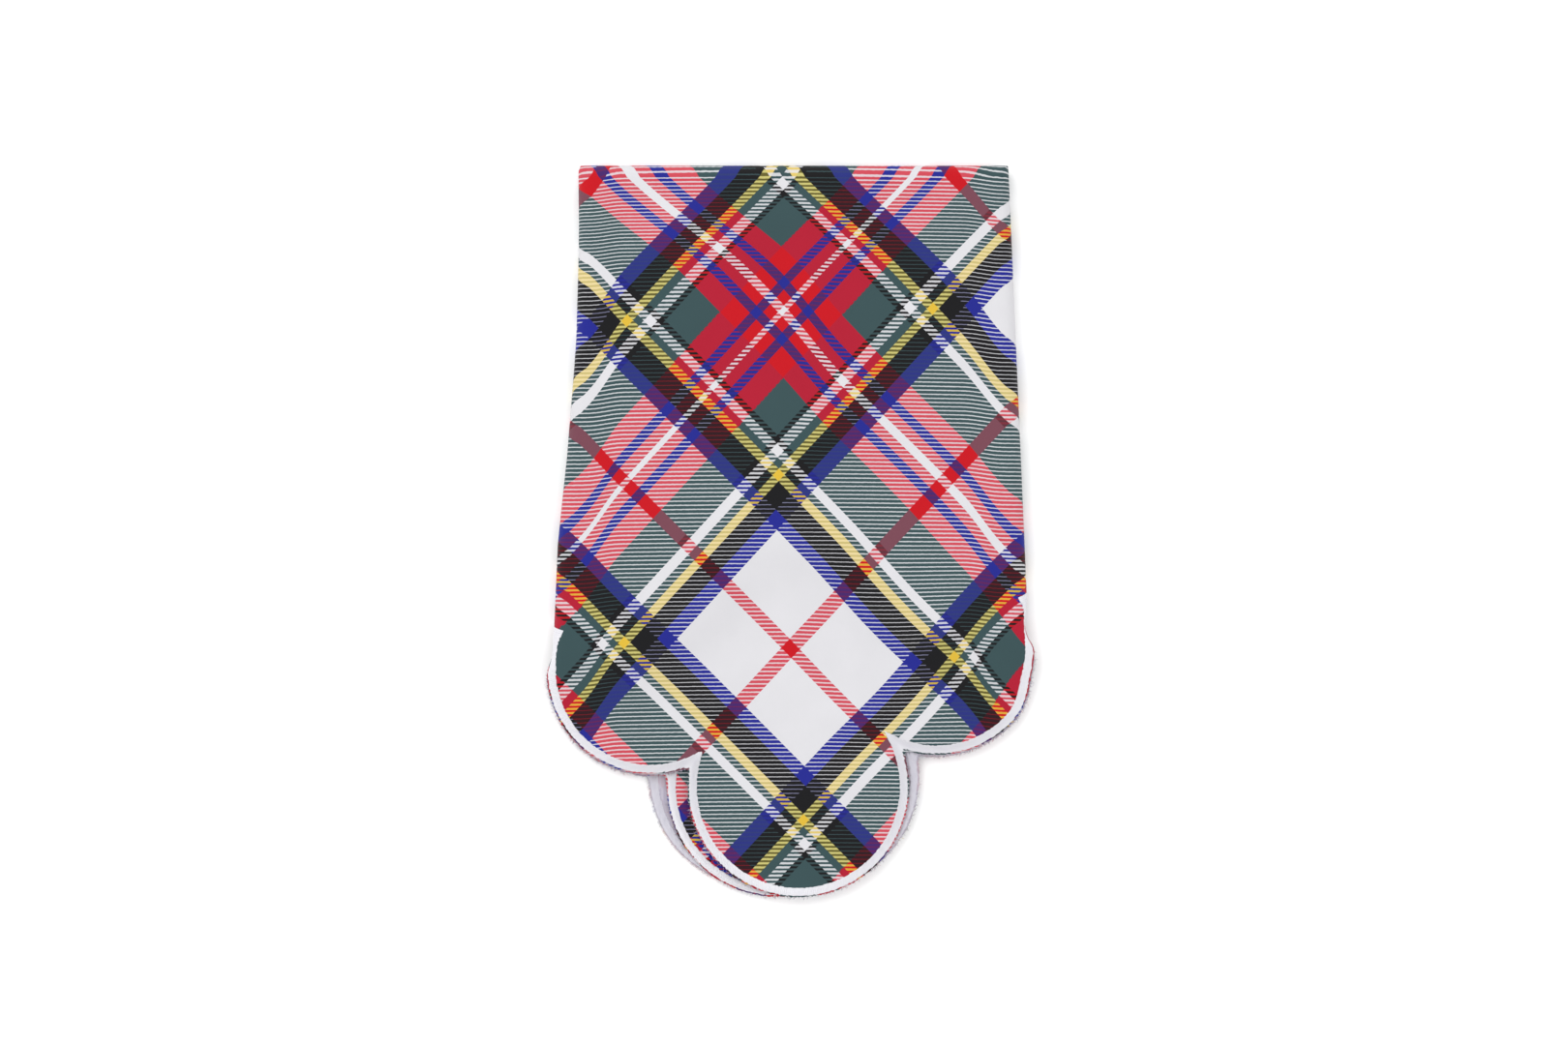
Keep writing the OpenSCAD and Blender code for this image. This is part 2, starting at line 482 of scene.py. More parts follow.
def ragged_edge(arcs, seed):
    """The trimmed edge: the hem's line at every few samples, a little uneven."""
    rng = np.random.RandomState(seed)
    path = hem_path(arcs, hem_counts(arcs))
    along = np.gradient(path, axis=0)
    out = np.stack([along[:, 1], -along[:, 0]], 1) / np.linalg.norm(along, axis=1)[:, None]
    uneven = rng.uniform(-UNEVEN_IN, UNEVEN_OUT, len(path))
    uneven[0] = uneven[-1] = 0
    return (path + out * uneven[:, None] * MM)[::EDGE_EVERY]


def shown_arcs(layer, inset):
    """The three scallops that show, left to right: centre, radius, first and last point."""
    left, corner, right = (shown_scallop(layer, name, inset) for name in ("left", "corner", "right"))
    first_notch = circles_meet(*left, *corner, (-1, -1))
    second_notch = circles_meet(*corner, *right, (1, -1))
    return [
        (*left, fold_notch(layer, LEFT), first_notch),
        (*corner, first_notch, second_notch),
        (*right, second_notch, fold_notch(layer, RIGHT)),
    ]


def seam_end(layer, fold):
    """Lower end of the line, halfway round a side fold, where the front meets the flap."""
    return fold.point(half_take, fold.up(fold_notch(layer, fold)))


def mitre(fold):
    """Where the lines halfway round a side fold and the top fold meet."""
    rise = (TOP.corner[1] + half_take - fold.corner[1] - half_take * fold.out[1]) / fold.along[1]
    return fold.point(half_take, rise)


# Longest step along a straight edge, and a length past any edge of the napkin
EDGE_STEP = 2.5 * MM
FAR = 300 * MM


def front_outline(layer):
    hem = ragged_edge(shown_arcs(layer, 0), layer)
    ends = [seam_end(layer, RIGHT), mitre(RIGHT), mitre(LEFT), seam_end(layer, LEFT)]
    return refine(np.vstack([hem, np.array(ends)]), EDGE_STEP)


def flip(p, side):
    """Right-hand plan points, turned into left-hand ones where side is -1."""
    return p * np.array([side, 1.0])


def turned_scallops(layer, side, inset):
    """The two scallops on a side flap, in right-hand plan: the first one starts at the seam."""
    start = flip(seam_end(layer, RIGHT if side > 0 else LEFT), side)
    centre, r = hidden_scallop(2)
    across = start[0] - centre[0]
    centre = centre + [0, start[1] + math.sqrt(r * r - across * across) - centre[1]]
    end_centre, end_r = hidden_scallop(HALF_ROW)
    return (centre, r - inset), (end_centre, end_r - inset)


def unfolded(point, direction):
    """Right-hand plan of a line that is drawn on the turned flap."""
    middle = RIGHT.corner + RIGHT.out * half_take
    point, direction = np.array(point), np.array(direction)
    return (
        point - 2 * ((point - middle) @ RIGHT.out) * RIGHT.out,
        direction - 2 * (direction @ RIGHT.out) * RIGHT.out,
    )


# A side flap stops short of the middle line
MIDDLE_LINE = unfolded([FLAP_GAP / 2, 0], [-1.0, 0.0])


def circle_meets_line(centre, r, line, direction):
    """Where a circle crosses a line given by a point and a normal, furthest along direction."""
    point, normal = line
    depth = (point - centre) @ normal
    half = math.sqrt(max(r * r - depth * depth, 0.0))
    along = np.array([-normal[1], normal[0]])
    ends = [centre + normal * depth + along * s * half for s in (-1, 1)]
    return max(ends, key=lambda e: e @ np.array(direction))


def flap_arcs(layer, side, inset):
    """The scallops of a side flap in right-hand plan: centre, radius, first and last point."""
    first, last = turned_scallops(layer, side, inset)
    start = circle_meets_row(*first, RIGHT, half_take, -1)
    notch = circles_meet(*first, *last, (1, -1))
    end = circle_meets_line(*last, MIDDLE_LINE, (1, -1))
    return [(*first, start, notch), (*last, notch, end)]


def flap_outline(layer, side):
    """Plan of a side flap, beyond the middle of its fold."""
    hem = ragged_edge(flap_arcs(layer, side, 0), 10 + layer)
    edge = flip(crease_edge(layer, side), side)
    tip = edge + np.array([1, -1]) * FAR
    corner = mitre(RIGHT)
    over = [corner[0], edge[1] - corner[0] + edge[0]]
    polygon = np.vstack([hem, np.array([tip, over, corner])])
    polygon = clip(polygon, *MIDDLE_LINE)
    polygon = flip(refine(polygon, EDGE_STEP), side)
    return polygon if side > 0 else polygon[::-1]


def top_outline(layer):
    low, high = TOP.corner[1] + half_take, apex[1] + 10 * MM
    wide = 120 * MM
    polygon = np.array([[-wide, low], [wide, low], [wide, high], [-wide, high]])
    for side in (1, -1):
        polygon = clip(polygon, crease_edge(layer, side), crease_normal(side))
    return refine(polygon, EDGE_STEP)


# ---- materials


class Nodes:
    """A material's node tree, with short calls for the nodes used here."""

    def __init__(self, name):
        self.material = bpy.data.materials.new(name)
        self.material.use_nodes = True
        self.tree = self.material.node_tree
        self.shader = self.tree.nodes["Principled BSDF"]

    def node(self, kind, **settings):
        made = self.tree.nodes.new(kind)
        for key, value in settings.items():
            setattr(made, key, value)
        return made

    def link(self, source, target):
        if isinstance(source, bpy.types.NodeSocket):
            self.tree.links.new(source, target)
        else:
            target.default_value = source

    def math(self, operation, *values):
        made = self.node("ShaderNodeMath", operation=operation)
        for k, value in enumerate(values):
            self.link(value, made.inputs[k])
        return made.outputs[0]

    def times(self, a, b):
        return self.math("MULTIPLY", a, b)

    def above(self, value, limit):
        return self.math("GREATER_THAN", value, limit)

    def rest(self, share):
        return self.math("SUBTRACT", 1.0, share)

    def mix(self, factor, a, b, how="MIX"):
        made = self.node("ShaderNodeMix", data_type="RGBA", blend_type=how)
        self.link(factor, made.inputs["Factor"])
        self.link(a, made.inputs["A"])
        self.link(b, made.inputs["B"])
        return made.outputs["Result"]

    def split(self, colour):
        made = self.node("ShaderNodeSeparateColor")
        self.link(colour, made.inputs[0])
        return made.outputs

    def grey(self, colour):
        made = self.node("ShaderNodeRGBToBW")
        self.link(colour, made.inputs[0])
        return made.outputs[0]

    def uv(self, name):
        made = self.node("ShaderNodeUVMap", uv_map=name)
        parts = self.node("ShaderNodeSeparateXYZ")
        self.link(made.outputs[0], parts.inputs[0])
        return made.outputs[0], parts.outputs[0], parts.outputs[1]

    def wave(self, at, period):
        """A smooth wave between 0 and 1."""
        turned = self.math("MULTIPLY", at, 2 * math.pi / period)
        return self.math("MULTIPLY_ADD", self.math("SINE", turned), 0.5, 0.5)

    def noise(self, vector, scale, detail=2.0):
        made = self.node("ShaderNodeTexNoise")
        self.link(vector, made.inputs["Vector"])
        made.inputs["Scale"].default_value = scale
        made.inputs["Detail"].default_value = detail
        return made.outputs["Fac"]

    def bump(self, height, distance, strength=1.0):
        made = self.node("ShaderNodeBump")
        made.inputs["Strength"].default_value = strength
        made.inputs["Distance"].default_value = distance
        self.link(height, made.inputs["Height"])
        self.link(made.outputs[0], self.shader.inputs["Normal"])


# How much light falls on the cloth. Colours are divided by it, so that they show as they are named.
LIGHT = 1.35
GAMMA = 2.2


def shown(r, g, b):
    """A displayed colour, each part 0 to 255, as the tartan's nodes mix it."""
    return (r / 255, g / 255, b / 255, 1.0)


def plain(r, g, b):
    """The surface colour that shows as this displayed colour."""
    return tuple((v / 255) ** GAMMA / LIGHT for v in (r, g, b)) + (1.0,)


INK = {
    "white": shown(229, 228, 232),
    "black": shown(22, 22, 25),
    "green": shown(60, 83, 86),
    "red": shown(205, 13, 30),
    "blue": shown(36, 42, 145),
    "yellow": shown(230, 190, 62),
}
# One half of the tartan's repeat, from the middle of the large white stripe outwards: colours, and
# widths in millimetres both ways
SETT = [
    ("red", 2.35, 2.2), ("white", 30.35, 23.95), ("blue", 5.3, 5.1), ("black", 6.1, 7.5),
    ("yellow", 3.15, 3.3), ("green", 3.0, 2.65), ("white", 3.5, 3.3), ("black", 2.0, 2.0),
    ("green", 12.5, 16.05), ("red", 8.05, 7.35), ("blue", 3.5, 3.35), ("red", 3.85, 4.05),
    ("white", 1.12, 1.7),
]
SETTS = [[(row[0], row[k]) for row in SETT] for k in (1, 2)]
SETT_STARTS = (-0.35 * MM, 0.26 * MM)
# The printed lines that mix the two directions' colours where stripes cross: their spacing, the
# slope of a step along a and b across them, and how ragged they are
HATCH_PERIOD = 1.505 * MM
HATCH_A, HATCH_B = 0.712, -0.736
RAGGED_SCALE = 900.0
RAGGED = 0.25 * MM
RAGGED_OFFSET = -0.12 * MM
LINE_SHARPNESS = 6.0

# How far a wide stripe's ink spreads over a lighter stripe, unless one of the two has NO_SPREAD
NO_SPREAD = 1.0
SPREAD = {"black": 0.4, "green": 0.31, "blue": 0.33, "red": 0.22, "white": 0.0, "yellow": NO_SPREAD}
# Two thin stripes, by place in SETT. A stripe's marks say what kind it is, and theirs are below 1.
THIN_RED, THIN_RED_MARK = 0, 0.5
THIN_BLACK, THIN_BLACK_MARK = 7, 0.4
# The narrow white stripes and the thin black one have spreads of their own
OWN_SPREAD = {6: NO_SPREAD, 12: NO_SPREAD, THIN_BLACK: 0.0}

# Pairs of stripes that cross in lines of two other colours: the kinds, the least product of their
# marks, and the colours of the darker and the lighter lines
OWN_LINES = [
    ("yellow", "deep", 0.25, shown(104, 97, 48), shown(206, 197, 118)),
    ("yellow", "field", 0.25, shown(208, 190, 123), shown(240, 220, 162)),
    ("blue", "black", 0.75, INK["black"], shown(128, 128, 158)),
]
# Pairs that cross in a nearly solid colour: the kinds, the least and the largest product of their
# marks, the colour, and how solid it is
SOLID = [
    ("red", "green", 0.25, 0.75, shown(124, 74, 87), 1.0),
    ("red", "green", 0.75, 1.25, shown(182, 28, 53), 1.0),
    ("red", "blue", 0.45, 1.25, shown(82, 36, 98), 0.8),
    ("green", "field_blue", 0.45, 1.25, shown(45, 54, 124), 0.8),
    ("red", "black", 0.45, 1.25, shown(66, 16, 30), 0.6),
    ("red", "black", 0.15, 0.25, shown(112, 56, 68), 0.8),
    ("blue", "black", 0.35, 0.45, INK["blue"], 0.8),
]
CRIMSON = shown(168, 20, 48)


def stripe_ramp(nodes, at, sett, start, colour_of):
    """The stripe's colour and alpha at a place, from bands that repeat to and fro."""
    half = sum(width for _, width in sett) * MM
    shifted = nodes.math("SUBTRACT", at, start)
    share = nodes.math("DIVIDE", nodes.math("PINGPONG", shifted, half), half)
    ramp = nodes.node("ShaderNodeValToRGB")
    ramp.color_ramp.interpolation = "CONSTANT"
    elements = ramp.color_ramp.elements
    elements.remove(elements[1])
    elements[0].position = 0.0
    elements[0].color = colour_of(0, sett[0][0])
    band = sett[0][1] * MM
    for n, (name, width) in enumerate(sett[1:], 1):
        elements.new(band / half).color = colour_of(n, name)
        band += width * MM
    nodes.link(share, ramp.inputs[0])
    return ramp.outputs, share


def core_start(sett):
    """Share of the half repeat where its last four stripes, red to white, begin."""
    widths = [width for _, width in sett]
    return sum(widths[:-4]) / sum(widths)


def ink_of(n, name):
    """The stripe's ink, with its spread as alpha."""
    return (*INK[name][:3], OWN_SPREAD.get(n, SPREAD[name]))


def kind_of(n, name):
    """The stripe's marks: red, green and blue in the colour, and black in alpha."""
    red = THIN_RED_MARK if n == THIN_RED else 1.0
    black = THIN_BLACK_MARK if n == THIN_BLACK else 1.0
    return (
        red * (name == "red"), float(name == "green"), float(name == "blue"), black * (name == "black"))


def read_stripe(nodes, at, sett, start):
    """One direction's stripe at a place: its ink, its spread and its marks."""
    (ink, spread), _ = stripe_ramp(nodes, at, sett, start, ink_of)
    (marks, black), share = stripe_ramp(nodes, at, sett, start, kind_of)
    red, green, blue = nodes.split(marks)
    _, ink_green, ink_blue = nodes.split(ink)
    core = nodes.above(share, core_start(sett))
    thin_black = nodes.math("COMPARE", black, THIN_BLACK_MARK, 0.05)
    return {
        "ink": ink, "spread": spread, "red": red, "green": green, "blue": blue, "black": black,
        "core": core, "thin_black": thin_black,
        "deep": nodes.math("MAXIMUM", green, black),
        "yellow": nodes.above(nodes.math("SUBTRACT", ink_green, ink_blue), 0.4),
        "field": nodes.math("SUBTRACT", nodes.math("LESS_THAN", spread, 0.05), thin_black),
        "field_blue": nodes.times(blue, nodes.rest(core)),
    }


def crossing(nodes, stripes, first, second):
    """Where one direction's stripe has the first mark and the other's the second: their product."""
    one, other = stripes
    there, back = nodes.times(one[first], other[second]), nodes.times(one[second], other[first])
    return nodes.math("ADD", there, back)


def ink_at_crossing(nodes, stripe, other):
    """A stripe's ink, changed by what it crosses: a thin black stripe turns green over the wide
    white field, and green turns crimson inside the red stripes' square."""
    greened = nodes.times(stripe["thin_black"], other["field"])
    crimson = nodes.times(stripe["green"], other["core"])
    ink = nodes.mix(greened, stripe["ink"], INK["green"])
    return nodes.mix(crimson, ink, CRIMSON)


def lighter_share(nodes, wave, stripes, second_lighter):
    """How much of the lighter ink shows: fine lines, narrower where the darker ink spreads."""
    one, other = stripes
    first_lighter = nodes.rest(second_lighter)
    level = nodes.math("ABSOLUTE", nodes.math("SUBTRACT", first_lighter, wave))
    most = nodes.math("MAXIMUM", one["spread"], other["spread"])
    free = nodes.math("LESS_THAN", most, 0.9)
    greened = crossing(nodes, stripes, "thin_black", "field")
    spread = nodes.times(first_lighter, other["spread"])
    spread = nodes.math("MULTIPLY_ADD", second_lighter, one["spread"], spread)
    spread = nodes.math("MULTIPLY_ADD", greened, SPREAD["green"], spread)
    edge = nodes.math("MULTIPLY_ADD", spread, free, 0.5)
    share = nodes.node("ShaderNodeMath", operation="MULTIPLY_ADD", use_clamp=True)
    for k, value in enumerate((nodes.math("SUBTRACT", level, edge), LINE_SHARPNESS, 0.5)):
        nodes.link(value, share.inputs[k])
    return share.outputs[0]


def mixed_lines(nodes, wave, stripes):
    """Fine lines of the two directions' inks, and how much of the lighter ink shows."""
    one, other = stripes
    inks = [ink_at_crossing(nodes, one, other), ink_at_crossing(nodes, other, one)]
    grey = [nodes.grey(ink) for ink in inks]
    second_lighter = nodes.above(grey[1], grey[0])
    light = nodes.mix(second_lighter, inks[0], inks[1])
    dark = nodes.mix(second_lighter, inks[1], inks[0])
    middle = nodes.mix(0.5, light, dark)
    # Bright red beside white is paler
    beside_white = nodes.above(nodes.math("MAXIMUM", *grey), 0.85)
    vivid = nodes.above(nodes.split(dark)[0], 0.7)
    paler = nodes.times(nodes.times(vivid, beside_white), 0.6)
    dark = nodes.mix(paler, dark, middle)
    light = nodes.mix(0.22, light, middle)
    share = lighter_share(nodes, wave, stripes, second_lighter)
    return nodes.mix(share, dark, light), share


def tartan(nodes):
    """The print's surface colour, from the cloth's print coordinates. Where two stripes cross, fine
    lines of the one and the other take turns, and some pairs have colours of their own."""
    vector, a, b = nodes.uv("print")
    stripes = [read_stripe(nodes, *way) for way in zip((a, b), SETTS, SETT_STARTS)]
    ragged = nodes.math("MULTIPLY_ADD", nodes.noise(vector, RAGGED_SCALE), RAGGED, RAGGED_OFFSET)
    across = nodes.math("MULTIPLY_ADD", b, HATCH_B, nodes.math("MULTIPLY_ADD", a, HATCH_A, ragged))
    colour, share = mixed_lines(nodes, nodes.wave(across, HATCH_PERIOD), stripes)
    for first, second, least, darker, lighter in OWN_LINES:
        found = nodes.above(crossing(nodes, stripes, first, second), least)
        colour = nodes.mix(found, colour, nodes.mix(share, darker, lighter))
    for first, second, least, largest, ink, strength in SOLID:
        middle, reach = (largest + least) / 2, (largest - least) / 2
        found = nodes.math("COMPARE", crossing(nodes, stripes, first, second), middle, reach)
        colour = nodes.mix(nodes.times(found, strength), colour, ink)
    gamma = nodes.node("ShaderNodeGamma")
    nodes.link(colour, gamma.inputs[0])
    gamma.inputs[1].default_value = GAMMA
    lit = nodes.mix(1.0, gamma.outputs[0], (*[1 / LIGHT] * 3, 1.0), "MULTIPLY")
    return lit, vector, a, b


# Spacing and depth of the weave's threads
THREAD_PITCH = 0.42 * MM
THREAD_RELIEF = 0.05 * MM


def weave(nodes, a, b):
    """A fine plain weave's relief."""
    one, other = nodes.wave(a, THREAD_PITCH), nodes.wave(b, THREAD_PITCH)
    high = nodes.times(one, other)
    low = nodes.times(nodes.rest(one), nodes.rest(other))
    return nodes.math("ADD", high, low)


def fabric(nodes, roughness, sheen):
    nodes.shader.inputs["Roughness"].default_value = roughness
    nodes.shader.inputs["Specular IOR Level"].default_value = 0.25
    nodes.shader.inputs["Sheen Weight"].default_value = sheen
    nodes.shader.inputs["Sheen Roughness"].default_value = 0.5


def make_printed():
    nodes = Nodes("printed_cotton")
    colour, vector, a, b = tartan(nodes)
    relief = weave(nodes, a, b)
    worn = nodes.math("MULTIPLY_ADD", nodes.noise(vector, 60.0, 4.0), 0.10, 0.93)
    # The colour is multiplied by the noise's random tone and by the weave's relief. The threads' low
    # places are painted darker: painted shade between the threads.
    shade = nodes.times(worn, nodes.math("MULTIPLY_ADD", relief, 0.10, 0.95))
    nodes.link(nodes.mix(1.0, colour, shade, "MULTIPLY"), nodes.shader.inputs["Base Color"])
    nodes.bump(relief, THREAD_RELIEF, 0.6)
    fabric(nodes, 0.88, 0.06)
    return nodes.material


def make_back():
    """The unprinted face: off-white with a faint trace of the print showing through, painted greyer and
    darker than white as painted shade.
    """
    nodes = Nodes("cotton_back")
    colour, vector, a, b = tartan(nodes)
    relief = weave(nodes, a, b)
    trace = nodes.math("MULTIPLY_ADD", nodes.noise(vector, 200.0), 0.06, 0.08)
    # plain(200, 193, 207) is the back painted darker and greyer than white cloth: painted shade, as the
    # lower layers' backs lie in shadow.
    nodes.link(nodes.mix(trace, plain(200, 193, 207), colour), nodes.shader.inputs["Base Color"])
    nodes.bump(relief, THREAD_RELIEF, 0.6)
    fabric(nodes, 0.9, 0.12)
    return nodes.material


def make_thread(name, colour, groove_shade_and_mottle, roughness, sheen):
    nodes = Nodes(name)
    vector, along, _ = nodes.uv("stitch")
    strands = nodes.wave(along, 0.16 * MM)
    mottle = nodes.noise(vector, 500.0, 3.0)
    # The strands' grooves and the mottle's low places take the darker colour: painted shade between the
    # strands, together with random tone.
    shade = nodes.math("MULTIPLY_ADD", strands, 0.35, nodes.times(mottle, 0.6))
    nodes.link(nodes.mix(shade, groove_shade_and_mottle, colour), nodes.shader.inputs["Base Color"])
    nodes.bump(strands, 0.03 * MM, 0.6)
    fabric(nodes, roughness, sheen)
    return nodes.material


PRINTED = make_printed()
BACK = make_back()
# Each thread's second colour is its painted shade in the strand grooves, mixed with random tone.
NEEDLE = make_thread("satin_thread", plain(255, 255, 255), plain(236, 234, 246), 0.5, 0.25)
BOBBIN = make_thread("bobbin_thread", plain(240, 238, 245), plain(200, 197, 212), 0.75, 0.1)


# ---- cloth


def new_object(name, vertices, faces, materials):
    mesh = bpy.data.meshes.new(name)
    mesh.from_pydata([tuple(v) for v in vertices], [], faces)
    for material in materials:
        mesh.materials.append(material)
    mesh.polygons.foreach_set("use_smooth", [True] * len(mesh.polygons))
    made = bpy.data.objects.new(name, mesh)
    bpy.context.scene.collection.objects.link(made)
    return made


def set_uv(obj, name, per_vertex):
    layer = obj.data.uv_layers.new(name=name)
    corners = np.zeros(len(obj.data.loops), np.int32)
    obj.data.loops.foreach_get("vertex_index", corners)
    layer.data.foreach_set("uv", np.ascontiguousarray(per_vertex[corners], np.float32).ravel())


# Spacing of the cloth's points and of the rows across a fold, how far the rows reach, and how
# close to the edge or to each other points may be
GRID = 2.4 * MM
ROW = 0.5 * MM
ROW_REACH = 320 * MM
EDGE_ROOM = 0.35 * MM
POINT_ROOM = 0.42 * MM


def fill_points(outline, layer):
    """Points inside an outline: an even grid, with close rows across folds and creases."""
    low, high = outline.min(0), outline.max(0)
    rows = np.arange(low[1] + GRID / 2, high[1], GRID * 0.87)
    columns = np.arange(low[0] + GRID / 2, high[0], GRID)
    grid = np.array([[x + (n % 2) * GRID / 2, y] for n, y in enumerate(rows) for x in columns])
    lines = [(fold.corner, fold.out, np.arange(0, take + ROW, ROW)) for fold in (TOP, LEFT, RIGHT)]
    for side in (1, -1):
        r = crease_r(layer, side)
        count = max(3, int(math.ceil(r * math.pi / 2 / ROW)))
        offsets = -r + np.arange(count) * r * math.pi / 2 / count
        lines.append((apex, crease_normal(side), offsets))
    bands = []
    for start, normal, offsets in lines:
        away = (grid - start) @ normal
        grid = grid[(away < offsets[0] - GRID / 2) | (away > offsets[-1] + GRID / 2)]
        along = np.array([-normal[1], normal[0]])
        for n, offset in enumerate(offsets):
            steps = np.arange(-ROW_REACH, ROW_REACH, GRID) + (n % 2) * GRID / 2
            bands.append(start + offset * normal + steps[:, None] * along)
    points = np.vstack([grid] + bands)
    points = points[((points > low) & (points < high)).all(1)]
    points = points[inside(outline, points)]
    points = points[distance_to(outline, points) > EDGE_ROOM]
    # Where bands cross, points that are too close together are thinned out
    cells = np.round(points / POINT_ROOM).astype(int)
    _, first = np.unique(cells, axis=0, return_index=True)
    return points[np.sort(first)]


def triangulate(outline, points):
    count = len(outline)
    edges = [(k, (k + 1) % count) for k in range(count)]
    flat = [tuple(p) for p in np.vstack([outline, points]) / MM]
    found = delaunay_2d_cdt(flat, edges, [list(range(count))], 1, 1e-5)
    vertices = np.array([tuple(v) for v in found[0]]) * MM
    faces = np.array([f for f in found[2] if len(f) == 3])
    a, b, c = (vertices[faces[:, k]] for k in range(3))
    turn = (b - a)[:, 0] * (c - a)[:, 1] - (b - a)[:, 1] * (c - a)[:, 0]
    faces[turn < 0] = faces[turn < 0][:, ::-1]
    return vertices, faces


def squeeze(p):
    """How far the right scallop's side is pushed in, below the end of its fold."""
    x, y = p[:, 0], p[:, 1]
    height = smooth((-20 * MM - y) / (22 * MM)) * (1 - smooth((-50 * MM - y) / (18 * MM)))
    return -2.7 * MM * smooth((x - 58 * MM) / (28 * MM)) * height


def settle(p, layer, lift, front):
    """Final places of plan points: creased, folded and, on the front, draped."""
    p, curl = round_creases(p, layer)
    placed = place(p, layer, lift + curl, front)
    placed[:, 0] += draw_in(p)
    if front:
        placed[:, 2] += drape(p)
        placed[:, 0] += squeeze(p)
    return placed


def printed_side(layer):
    return 1 if layer % 2 else -1


def side_of(fold):
    """1 for a right-hand piece and for the front, which has no fold, and -1 for a left-hand one."""
    return fold.side if fold else 1


def make_cloth(name, outline, layer, front):
    plan, faces = triangulate(outline, fill_points(outline, layer))
    if printed_side(layer) < 0:
        faces = faces[:, ::-1]
    settled = settle(plan, layer, np.zeros(len(plan)), front)
    made = new_object(name, settled, faces.tolist(), [PRINTED, BACK])
    set_uv(made, "print", print_of(layer, plan))
    solid = made.modifiers.new("thickness", "SOLIDIFY")
    solid.thickness = cloth_t
    solid.offset = 0.0
    solid.use_even_offset = False
    solid.material_offset = 1
    return made


# ---- satin stitching

# Height along one stitch, as shares of its ridge, and the columns of points across the band
RIDGE_SHAPE = (0.42, 0.8, 1.0, 0.97, 0.75)
COLUMNS = (-1.0, -0.92, -0.7, -0.35, 0.0, 0.35, 0.7, 0.92, 1.0)
STITCH_H = {"needle": 0.5 * MM, "bobbin": 0.3 * MM}
# The stitching on the turned-under flaps is pressed flat, to this share of its height
PRESSED = 0.42
# How far the band's base lies in the cloth, and how uneven the stitches' ends are in millimetres
TUCK = 0.12 * MM
END_PLAY = 0.16


def tube_faces(count, wide, reverse):
    """Faces of a closed tube that has count rings of wide points each."""
    n, m = np.meshgrid(np.arange(count - 1), np.arange(wide), indexing="ij")
    a, b = (n * wide + m).ravel(), (n * wide + (m + 1) % wide).ravel()
    faces = np.stack([a, b, b + wide, a + wide], 1).tolist()
    faces.append(list(range(wide))[::-1])
    faces.append([(count - 1) * wide + k for k in range(wide)])
    return [face[::-1] for face in faces] if reverse else faces


def band_rows(paths, high, rng):
    """Points across the band at each sample of the hem, and their lifts: domed stitches."""
    count = len(paths[0])
    ridge = np.arange(count) // len(RIDGE_SHAPE)
    profile = np.array(RIDGE_SHAPE)[np.arange(count) % len(RIDGE_SHAPE)]
    tall = rng.uniform(0.85, 1.12, ridge[-1] + 1)[ridge] * profile
    ends = rng.uniform(-END_PLAY, END_PLAY, (2, ridge[-1] + 1))[:, ridge]
    across_band = paths[-1] - paths[0]
    rows, lifts = [], []
    for u, path in zip(COLUMNS, paths):
        uneven = (ends[0] if u > 0 else ends[1]) * abs(u) ** 3 * MM / STITCH_W
        rows.append(path + across_band * uneven[:, None])
        lifts.append(cloth_t / 2 + high * math.sqrt(1 - u * u) ** 0.7 * tall)
    for n in (len(COLUMNS) - 1, 0):
        rows.append(rows[n])
        lifts.append(np.full(count, cloth_t / 2 - TUCK))
    return np.stack(rows, 1), np.stack(lifts, 1)


def make_stitch(name, arcs_at, layer, fold, face, kind, seed):
    """A domed band of stitches across the hem. arcs_at gives the hem's arcs at an inset."""
    side = side_of(fold)
    counts = hem_counts(arcs_at(TRIM))
    paths = [hem_path(arcs_at(TRIM + STITCH_W * (1 - u) / 2), counts) for u in COLUMNS]
    high = STITCH_H[kind] * (PRESSED if fold else 1)
    rows, lifts = band_rows(paths, high, np.random.RandomState(seed))
    count, wide = lifts.shape
    settled = settle(flip(rows.reshape(-1, 2), side), layer, face * lifts.reshape(-1), fold is None)
    made = new_object(name, settled, tube_faces(count, wide, face * side > 0),
                      [NEEDLE if kind == "needle" else BOBBIN])
    steps = np.linalg.norm(np.diff(paths[len(COLUMNS) // 2], axis=0), axis=1)
    along = np.repeat(np.concatenate([[0], np.cumsum(steps)]), wide)
    across = np.tile([(1 + u) / 2 * STITCH_W for u in COLUMNS] + [STITCH_W, 0.0], count)
    set_uv(made, "stitch", np.stack([along, across], 1))
    return made


# ---- frayed edge

FIBRES_PER_MM = 3.5
FIBRE_RINGS = 4
FIBRE_SIDES = 3
FIBRE_ROOT = 0.25 * MM
FIBRE_LONGEST = 1.7 * MM
WHITE_FIBRES = 0.75
# The flaps' fibres are pressed flat, to this share of their rise
FLAP_RISE = 0.3


